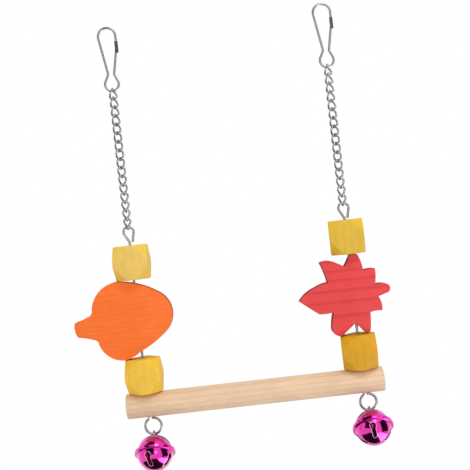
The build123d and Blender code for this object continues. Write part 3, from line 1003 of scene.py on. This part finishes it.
    def clear_slivers(self, bm):
        """Splits faces of many sides, and merges corners and edges that a cut leaves too close together."""
        bmesh.ops.triangulate(bm, faces=[face for face in bm.faces if len(face.verts) > 4])
        bmesh.ops.remove_doubles(bm, verts=bm.verts, dist=self.sliver)
        bmesh.ops.dissolve_degenerate(bm, dist=self.sliver, edges=bm.edges)

    def even_ball(self, mesh, centre):
        """Shades the faces on the ball as a true ball, also where the slots' rims cut into them."""
        outer = sizes().bell_diameter / 2
        normals = [corner.vector.copy() for corner in mesh.corner_normals]
        for face in mesh.polygons:
            reaches = [mesh.vertices[index].co - centre for index in face.vertices]
            if all(abs(reach.length - outer) < self.sliver for reach in reaches):
                for corner, reach in zip(face.loop_indices, reaches):
                    normals[corner] = reach.normalized()
        mesh.normals_split_custom_set(normals)

    def slot_aims(self, side):
        """Turns that point each slot's own frame out from the bell's centre, its X axis down the slot."""
        lean = Matrix.Rotation(QUARTER_TURN + sizes().slot_latitude, 4, "Y")
        for index in range(self.slot_count):
            azimuth = math.radians(self.slot_turns[side]) + FULL_TURN * index / self.slot_count
            yield Matrix.Rotation(azimuth, 4, "Z") @ lean

    @staticmethod
    def slot_outline():
        """Radii and places of the round eye and the narrow foot, to the middle of the slot's rolled rim."""
        size = sizes()
        eye_radius = (size.slot_eye + size.slot_rim) / 2
        eye_place = -(size.slot_length - size.slot_eye) / 2
        foot_radius = (size.slot_width + size.slot_rim) / 2
        foot_place = (size.slot_length - size.slot_width) / 2
        return eye_radius, eye_place, foot_radius, foot_place

    def rim_frames(self):
        """Sections of the rim that runs round a keyhole slot on the ball, a little proud of it."""
        size = sizes()
        eye_radius, eye_place, foot_radius, foot_place = self.slot_outline()
        shoulder = math.asin(foot_radius / eye_radius)
        run = foot_place - eye_place - eye_radius * math.cos(shoulder)
        straight = [run / self.run_steps] * self.run_steps
        corner = Vector((foot_place - run, -foot_radius))
        outline = bent_frames(corner, 0, [*straight, (foot_radius, HALF_TURN), *straight], Matrix())
        eye = [(eye_radius, FULL_TURN - 2 * shoulder)]
        outline += bent_frames((corner.x, foot_radius), QUARTER_TURN + shoulder, eye, Matrix())[1:-1]
        ball = (size.bell_diameter - size.slot_rim) / 2 + self.rim_rise
        points = []
        for section in outline:
            x, y, _ = section.translation
            points.append(Vector((x, y, math.sqrt(ball**2 - x**2 - y**2))))
        frames = []
        for last, point, following in zip(points[-1:] + points, points, points[1:] + points[:1]):
            tangent = (following - last).normalized()
            across = tangent.cross(point).normalized()
            frames.append(frame_at(point, across, tangent))
        return frames

    def slot_punch(self, side):
        """Keyhole punches that point out from the bell's centre, each a round eye uphill of a narrow slot."""
        punch = bmesh.new()
        depth = sizes().bell_diameter / 2
        eye_radius, eye_place, foot_radius, foot_place = self.slot_outline()
        for aim in self.slot_aims(side):
            aim = aim @ Matrix.Translation((0, 0, depth))
            for place, radius in ((eye_place, eye_radius), (foot_place, foot_radius)):
                add_rod(punch, radius, depth, self.punch_sides, aim @ Matrix.Translation((place, 0, 0)))
            bar = Matrix.Translation(((foot_place + eye_place) / 2, 0, 0))
            bar = bar @ Matrix.Diagonal((foot_place - eye_place, 2 * foot_radius, depth, 1))
            bmesh.ops.create_cube(punch, size=1, matrix=aim @ bar)
        return punch

    def bend_shank(self, side, bar):
        """Wire loop over the ring, its legs through the crown."""
        size = sizes()
        bow = (size.shank_width - size.shank_wire) / 2
        bow_top = (size.wire_diameter + size.shank_wire) / 2 + self.shank_gap
        crown = size.bell_drop - math.sqrt((size.bell_diameter / 2) ** 2 - bow**2)
        leg = bow_top - bow + crown + size.bell_wall + size.shank_tail
        steps = [leg, (bow, -HALF_TURN), leg]
        start = Vector((-bow, bow_top - bow - leg))
        plane = bar @ Matrix.Rotation(QUARTER_TURN, 4, "Z") @ Matrix.Rotation(QUARTER_TURN, 4, "X")
        frames = bent_frames(start, QUARTER_TURN, steps, plane)
        add_piece(f"{side}_bell_shank", tube(frames, size.shank_wire / 2), finish("bright_nickel"))


class SWING_OT_stage(bpy.types.Operator):
    """Set the floor, the lamps, the pale surroundings and the camera"""

    bl_idname = "swing.stage"
    bl_label = "Stage"

    floor_drop = 0.45
    floor_radius = 4.0
    floor_sides = 64
    floor_fade = (0.3, 0.6)
    floor_rough = 0.9
    camera_distance = 0.47
    camera_angle = 32.5
    camera_aim = (-0.0015, -0.1276)
    camera_roll = 6.4
    camera_near = 0.01
    # Place from the swing's middle, width and power of each lamp
    lamps = {
        "key": ((0.28, -0.62, 0.86), 0.36, 2.3),
        "front": ((0.2, -1.1, 0.26), 0.26, 1.0),
        "side": ((0.9, -0.5, 0.05), 0.7, 0.9),
    }
    world_level = 0.82
    # Heading, width, foot and height of each flag
    dark_flags = ((-122, 60, -0.05, 1.1), (-18, 48, -0.7, 1.35))
    grey_flags = ((90, 50, -0.3, 0.75),)
    flag_reach = 1.25
    flag_steps = 8
    dark_shade = 0.02
    grey_shade = 0.3
    # Centre, width and depth of each card
    dark_cards = (((-0.28, -0.6, -0.7), 1.05, 1.4), ((-0.62, -0.25, 0.78), 1.27, 0.7))
    bright_cards = (((0.5, -0.4, -0.69), 0.5, 0.9),)
    glint_strength = 4.5

    def execute(self, context):
        self.lay_floor()
        self.light_world()
        self.hang_lamps()
        self.stand_flags("dark_flags", self.dark_flags, self.dark_cards, self.dark_shade)
        self.stand_flags("grey_flags", self.grey_flags, (), self.grey_shade)
        self.lay_glints()
        self.set_camera()
        context.scene.view_settings.view_transform = "Standard"
        return {"FINISHED"}

    def lay_floor(self):
        """Pale floor that keeps the swing's shadow near it and fades to white further out."""
        bm = bmesh.new()
        place = Matrix.Translation((0, 0, CAD_BOX[0].z - self.floor_drop))
        bmesh.ops.create_circle(
            bm, cap_ends=True, segments=self.floor_sides, radius=self.floor_radius, matrix=place
        )
        look = Finish("floor")
        look.dress({"Base Color": (*colours().floor, 1), "Roughness": self.floor_rough})
        reach = look.add("VectorMath", {0: look.mapped(scale=(1, 1, 0))}, operation="LENGTH").outputs["Value"]
        near, far = self.floor_fade
        fade = look.add("MapRange", {"Value": reach, "From Min": near, "From Max": far}).outputs["Result"]
        share = look.add("Math", {0: fade, 1: look.seen_ray()}, operation="MULTIPLY").outputs["Value"]
        white = look.add("Emission", {}).outputs["Emission"]
        mix = look.add("MixShader", {"Fac": share, 1: look.surface.outputs["BSDF"], 2: white})
        look.show(mix.outputs["Shader"])
        new_object("floor", bm, [look.owner])

    def light_world(self):
        """White surroundings that light the swing at a plain level."""
        world = bpy.data.worlds.new("studio")
        bpy.context.scene.world = world
        sky = NodeTree(world)
        level = sky.add("MapRange", {"Value": sky.seen_ray(), "To Min": self.world_level, "To Max": 1})
        sky.fill(sky.nodes["Background"], {"Color": (1, 1, 1, 1), "Strength": level.outputs["Result"]})

    def hang_lamps(self):
        """Soft key from above, a front lamp by the camera and a weak lamp from the right."""
        for name, (place, width, power) in self.lamps.items():
            lamp = bpy.data.lights.new(name, "AREA")
            lamp.shape = "SQUARE"
            lamp.size = width
            lamp.energy = power
            holder = bpy.data.objects.new(name, lamp)
            bpy.context.scene.collection.objects.link(holder)
            holder.location = MIDDLE + Vector(place)
            holder.rotation_mode = "QUATERNION"
            holder.rotation_quaternion = (-Vector(place)).to_track_quat("-Z", "Y")
            holder.visible_glossy = name != "side"

    @staticmethod
    def lay_cards(bm, cards):
        """Flat cards that lie level."""
        for centre, width, depth in cards:
            place = Matrix.Translation(centre) @ Matrix.Diagonal((width, depth, 1, 1))
            bmesh.ops.create_grid(bm, x_segments=1, y_segments=1, size=0.5, matrix=place)

    @staticmethod
    def show_in_mirrors(name, bm, look):
        """Stage piece that neither shows nor lights the swing, and that only bright metal mirrors."""
        piece = new_object(name, bm, [look.owner])
        for sight in ("camera", "diffuse", "shadow", "transmission"):
            setattr(piece, f"visible_{sight}", False)

    def stand_flags(self, name, flags, cards, shade):
        """Curved cloth flags that stand round the swing, and flat cards of the same cloth."""
        bm = bmesh.new()
        for heading, width, foot, height in flags:
            way = heading_vector(math.radians(heading - width / 2)) * self.flag_reach
            start = bmesh.ops.create_vert(bm, co=(MIDDLE.x + way.x, MIDDLE.y + way.y, foot))["vert"]
            post = bmesh.ops.extrude_vert_indiv(bm, verts=start)
            bmesh.ops.translate(bm, verts=post["verts"], vec=(0, 0, height))
            bmesh.ops.spin(
                bm, geom=start + post["verts"] + post["edges"], cent=MIDDLE, axis=(0, 0, 1),
                angle=math.radians(width), steps=self.flag_steps,
            )
        self.lay_cards(bm, cards)
        cloth = Finish(f"{name}_cloth")
        cloth.dress({"Base Color": (*grey(shade), 1), "Roughness": 1, "Specular IOR Level": 0})
        self.show_in_mirrors(name, bm, cloth)

    def lay_glints(self):
        """Bright card low on the right."""
        bm = bmesh.new()
        self.lay_cards(bm, self.bright_cards)
        glow = Finish("glint_card")
        lamp = glow.add("Emission", {"Strength": self.glint_strength})
        glow.show(lamp.outputs["Emission"])
        self.show_in_mirrors("glints", bm, glow)

    def set_camera(self):
        """Camera square to the swing, rolled as the picture is."""
        camera = bpy.data.objects.new("camera", bpy.data.cameras.new("camera"))
        bpy.context.scene.collection.objects.link(camera)
        camera.data.angle = math.radians(self.camera_angle)
        camera.data.clip_start = self.camera_near
        x, z = self.camera_aim
        camera.location = (x, -self.camera_distance, z)
        camera.rotation_euler = (QUARTER_TURN, math.radians(self.camera_roll), 0)
        bpy.context.scene.camera = camera


class SWING_PT_pieces(bpy.types.Panel):
    """Lists the swing's pieces in the sidebar"""

    bl_label = "Bird Swing"
    bl_idname = "SWING_PT_pieces"
    bl_space_type = "VIEW_3D"
    bl_region_type = "UI"
    bl_category = "Bird Swing"

    def draw(self, context):
        for operator in OPERATORS:
            self.layout.operator(operator.bl_idname)
        for group in (context.scene.swing_sizes, context.scene.swing_colours):
            box = self.layout.box()
            for name in group.__annotations__:
                box.prop(group, name)


OPERATORS = (
    SWING_OT_hooks,
    SWING_OT_chains,
    SWING_OT_wires,
    SWING_OT_beads,
    SWING_OT_plaques,
    SWING_OT_perch,
    SWING_OT_bells,
    SWING_OT_stage,
)
CLASSES = (SwingSizes, SwingColours, *OPERATORS, SWING_PT_pieces)


def register():
    """Add the classes and the scene's properties."""
    for cls in CLASSES:
        bpy.utils.register_class(cls)
    bpy.types.Scene.swing_sizes = bpy.props.PointerProperty(type=SwingSizes)
    bpy.types.Scene.swing_colours = bpy.props.PointerProperty(type=SwingColours)


def unregister():
    """Remove them again."""
    del bpy.types.Scene.swing_colours
    del bpy.types.Scene.swing_sizes
    for cls in reversed(CLASSES):
        bpy.utils.unregister_class(cls)


def main():
    """Build every piece and the stage."""
    register()
    bpy.ops.swing.hooks()
    bpy.ops.swing.chains()
    bpy.ops.swing.wires()
    bpy.ops.swing.beads()
    bpy.ops.swing.plaques()
    bpy.ops.swing.perch()
    bpy.ops.swing.bells()
    bpy.ops.swing.stage()


if __name__ == "__main__":
    main()
